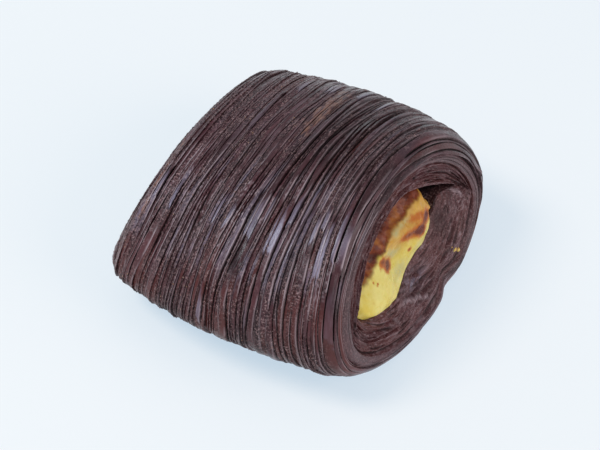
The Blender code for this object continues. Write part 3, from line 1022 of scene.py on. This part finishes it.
def dough_material():
    n = Nodes("cocoa_dough")
    gap, edge, tone, rough, red, tan, mauve = map(n.attribute, DOUGH_TAGS[:-1])
    streaks = n.noise(1300.0, 4.0, 0.65, n.attribute("grain", "Vector"), (1.0, 0.11, 1.0))
    grit = n.noise(1900.0, 2.0, 0.6)
    cloud = n.noise(220.0, 3.0, 0.6)
    shade = n.plus(n.times(tone, 0.7), n.ramp(streaks, 0.3, 0.7, -0.2, 0.25))
    shade = n.plus(shade, n.ramp(cloud, 0.3, 0.7, -0.1, 0.2), clamp=True)
    colour = n.mix(shade, DOUGH_DARK, DOUGH_LIGHT)
    colour = n.mix(n.times(red, 0.6), colour, DOUGH_RED)
    # Painted bluish sheen
    sheen = n.times(mauve, n.ramp(streaks, 0.3, 0.6, 0.35, 0.95))
    colour = n.mix(sheen, colour, SHEEN_BLUE)
    streaked = n.times(tan, n.ramp(streaks, 0.34, 0.55, 0.25, 1.0))
    colour = n.mix(streaked, colour, DOUGH_TAN)
    light = n.times(n.ramp(grit, 0.545, 0.63), rough)
    colour = n.mix(n.times(light, 0.8), colour, GRAIN_LIGHT)
    dark = n.times(n.ramp(grit, 0.49, 0.39), rough)
    colour = n.mix(n.times(dark, 0.8), colour, GRAIN_DARK)
    # Pale edges, with their painted glints
    colour = n.mix(n.times(edge, 0.68), colour, PALE_EDGE_AND_GLINT)
    # Painted shade in the gaps, cuts and hollows
    colour = n.mix(n.times(gap, 0.92), colour, GAP_SHADE)
    n.set("Base Color", colour)
    gloss = n.plus(n.ramp(rough, 0.0, 1.0, 0.2, 0.38), n.ramp(streaks, 0.3, 0.7, -0.05, 0.08))
    n.set("Roughness", n.plus(gloss, n.times(gap, 0.4), clamp=True))
    ground = n.times(grit, n.ramp(rough, 0.0, 1.0, 0.12, 1.0))
    n.set("Specular IOR Level", 0.26)
    n.bump(n.plus(ground, n.times(streaks, 0.3)), distance=0.5 * MM, strength=0.9)
    return n.material


def cream_material():
    n = Nodes("custard_cream")
    brown, toast, pale = n.attribute("brown"), n.attribute("toast"), n.attribute("pale")
    cloud = n.noise(190.0, 3.0, 0.55)
    fine = n.noise(750.0, 4.0, 0.65)
    orange = n.attribute("orange")
    base = n.mix(orange, *CREAM_BASE)
    bright = n.mix(orange, *CREAM_BRIGHT)
    colour = n.mix(n.ramp(cloud, 0.38, 0.64), base, bright)
    colour = n.mix(n.times(pale, n.ramp(fine, 0.3, 0.5)), colour, CREAM_PALE)
    spot = n.plus(toast, n.ramp(fine, 0.3, 0.7, -0.16, 0.16))
    colour = n.mix(n.ramp(spot, 0.14, 0.52), colour, TOAST_HALO)
    colour = n.mix(n.ramp(spot, 0.55, 1.05), colour, TOAST_CORE)
    crust = n.mix(n.ramp(fine, 0.36, 0.64), *CRUST)
    crust = n.mix(n.ramp(cloud, 0.52, 0.66), crust, CRUST_LIGHT)
    crust = n.mix(n.ramp(cloud, 0.44, 0.34), crust, CRUST_DARK)
    colour = n.mix(brown, colour, crust)
    n.set("Base Color", colour)
    n.set("Roughness", n.ramp(fine, 0.3, 0.7, 0.22, 0.42))
    n.set("Specular IOR Level", 0.2)
    n.set("Subsurface Weight", 0.2)
    n.set("Subsurface Radius", (0.004, 0.002, 0.0008))
    n.set("Subsurface Scale", 0.3)
    n.bump(fine, distance=0.3 * MM, strength=0.5)
    return n.material


def crumb_material():
    """Baked crumbs, from dark cocoa to pale brown by their tone, a few of them golden."""
    n = Nodes("baked_crumbs")
    tone = n.attribute("tone")
    colour = n.mix(n.ramp(tone, 0.0, 0.9), CRUMB_DARK, CRUMB_LIGHT)
    colour = n.mix(n.ramp(tone, 0.96, 1.0), colour, CRUMB_GOLD)
    n.set("Base Color", colour)
    n.set("Roughness", 0.35)
    n.bump(n.noise(3000.0, 3.0, 0.7), distance=0.1 * MM, strength=0.5)
    return n.material


def finish_piece(piece, node):
    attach(piece, "root")
    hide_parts(node)


def build_wrap(dough):
    """The wrap, cut in pieces along its length. Returns its grid of points and its fields."""
    points, attributes = wrap_fields()
    shape, rows = dented(points), len(points) - 1
    cuts = [round(rows * k / len(WRAP_PIECES)) for k in range(len(WRAP_PIECES) + 1)]
    for name, first, last in zip(WRAP_PIECES, cuts, cuts[1:]):
        made = grid_mesh(name, shape, attributes, dough, slice(first, last + 1))
        made.data.set_sharp_from_angle(angle=SHARP_ANGLE)
        finish_piece(made, "pastry_roll")
    return points, attributes


def build_end(name, side, seam, dough):
    """One end. Returns its grid of points."""
    points, attributes = end_fields(side, seam)
    made = grid_mesh(name, dented(points), attributes, dough, slice(None, None, side))
    finish_piece(made, "pastry_roll")
    return points


def build_crumbs(points, attributes):
    """Loose crumbs on the crumbly stretches of the wrap."""
    rng = np.random.default_rng(90)
    on_sheets = (attributes["gap"] < 0.05) * (points[..., 2] > CRUMBS_ABOVE)
    chance = attributes["rough"] ** 2 * on_sheets * (0.35 + band(SHARES, *CRUMB_SIDE))
    chance = chance / chance.sum()
    chosen = rng.choice(chance.size, LOOSE_CRUMBS, replace=False, p=chance.ravel())
    spots = points.reshape(-1, 3)[chosen]
    small, large = CRUMB_SIZES
    sizes = small + (large - small) * rng.uniform(0, 1, LOOSE_CRUMBS) ** 3
    tones = rng.uniform(0, 1, LOOSE_CRUMBS)
    made = crumb_mesh("crumbs", spots, sizes * MM, "tone", tones, crumb_material(), seed=91)
    finish_piece(made, "pastry_roll")


def build_fallen_cream(face, custard):
    """The bits of cream that lie on the near end's face."""
    rows = face.reshape(-1, 3)
    spots = [rows[np.hypot(rows[:, 1] - y, rows[:, 2] - z).argmin()] for y, z in FALLEN_CREAM]
    made = crumb_mesh("fallen_cream", spots, FALLEN_SIZES, "toast", FALLEN_TOAST, custard, seed=92)
    finish_piece(made, "cream_filling")


def build_pastry():
    dough, custard = dough_material(), cream_material()
    points, attributes = build_wrap(dough)
    near_end = build_end("end_near", 1, points[-1], dough)
    build_end("end_far", -1, points[0], dough)
    build_crumbs(points, attributes)
    cream_points, cream_tags = cream_fields()
    made = grid_mesh("cream", cream_points, cream_tags, custard, poles=True)
    finish_piece(made, "cream_filling")
    build_fallen_cream(near_end[RIM_ROWS:], custard)


def build_stage():
    bpy.ops.mesh.primitive_plane_add(size=FLOOR_SIZE, location=(0, 0, 0))
    floor = bpy.context.object
    floor.name = "floor"
    material = bpy.data.materials.new("pale_floor")
    material.use_nodes = True
    inputs = material.node_tree.nodes["Principled BSDF"].inputs
    inputs["Base Color"].default_value = (*FLOOR_COLOUR, 1.0)
    inputs["Roughness"].default_value = 0.7
    inputs["Emission Color"].default_value = (*FLOOR_GLOW, 1.0)
    inputs["Emission Strength"].default_value = FLOOR_GLOW_STRENGTH
    floor.data.materials.append(material)


def area_light(name, location, size, power, colour):
    light = bpy.data.lights.new(name, "AREA")
    light.shape = "DISK"
    light.size = size
    light.energy = power
    light.color = colour
    made = linked(name, light)
    made.location = location
    aim = Vector(LIGHT_AIM) - Vector(location)
    made.rotation_euler = aim.to_track_quat("-Z", "Y").to_euler()


def build_light():
    world = bpy.data.worlds.new("studio")
    bpy.context.scene.world = world
    world.use_nodes = True
    background = world.node_tree.nodes["Background"]
    background.inputs["Color"].default_value = (*SKY_COLOUR, 1.0)
    background.inputs["Strength"].default_value = SKY_STRENGTH
    area_light("window", (-0.45, -0.4, 0.9), size=0.42, power=7.6, colour=(0.86, 0.93, 1.0))
    area_light("fill", (1.0, 0.1, 0.5), size=0.9, power=6.8, colour=(1.0, 0.97, 0.98))


def build_camera():
    data = bpy.data.cameras.new("camera")
    data.lens = CAMERA_LENS
    data.sensor_width = SENSOR_WIDTH
    camera = linked("camera", data)
    flat = math.cos(CAMERA_ELEVATION)
    back = Vector((
        math.sin(CAMERA_AZIMUTH) * flat,
        -math.cos(CAMERA_AZIMUTH) * flat,
        math.sin(CAMERA_ELEVATION),
    ))
    camera.location = CAMERA_TARGET + back * CAMERA_DISTANCE
    facing = (-back).to_track_quat("-Z", "Y").to_matrix()
    camera.rotation_euler = (facing @ Matrix.Rotation(CAMERA_ROLL, 3, "Z")).to_euler()
    bpy.context.scene.camera = camera


build_pastry()
build_stage()
build_light()
build_camera()
bpy.context.scene.view_settings.view_transform = "Standard"
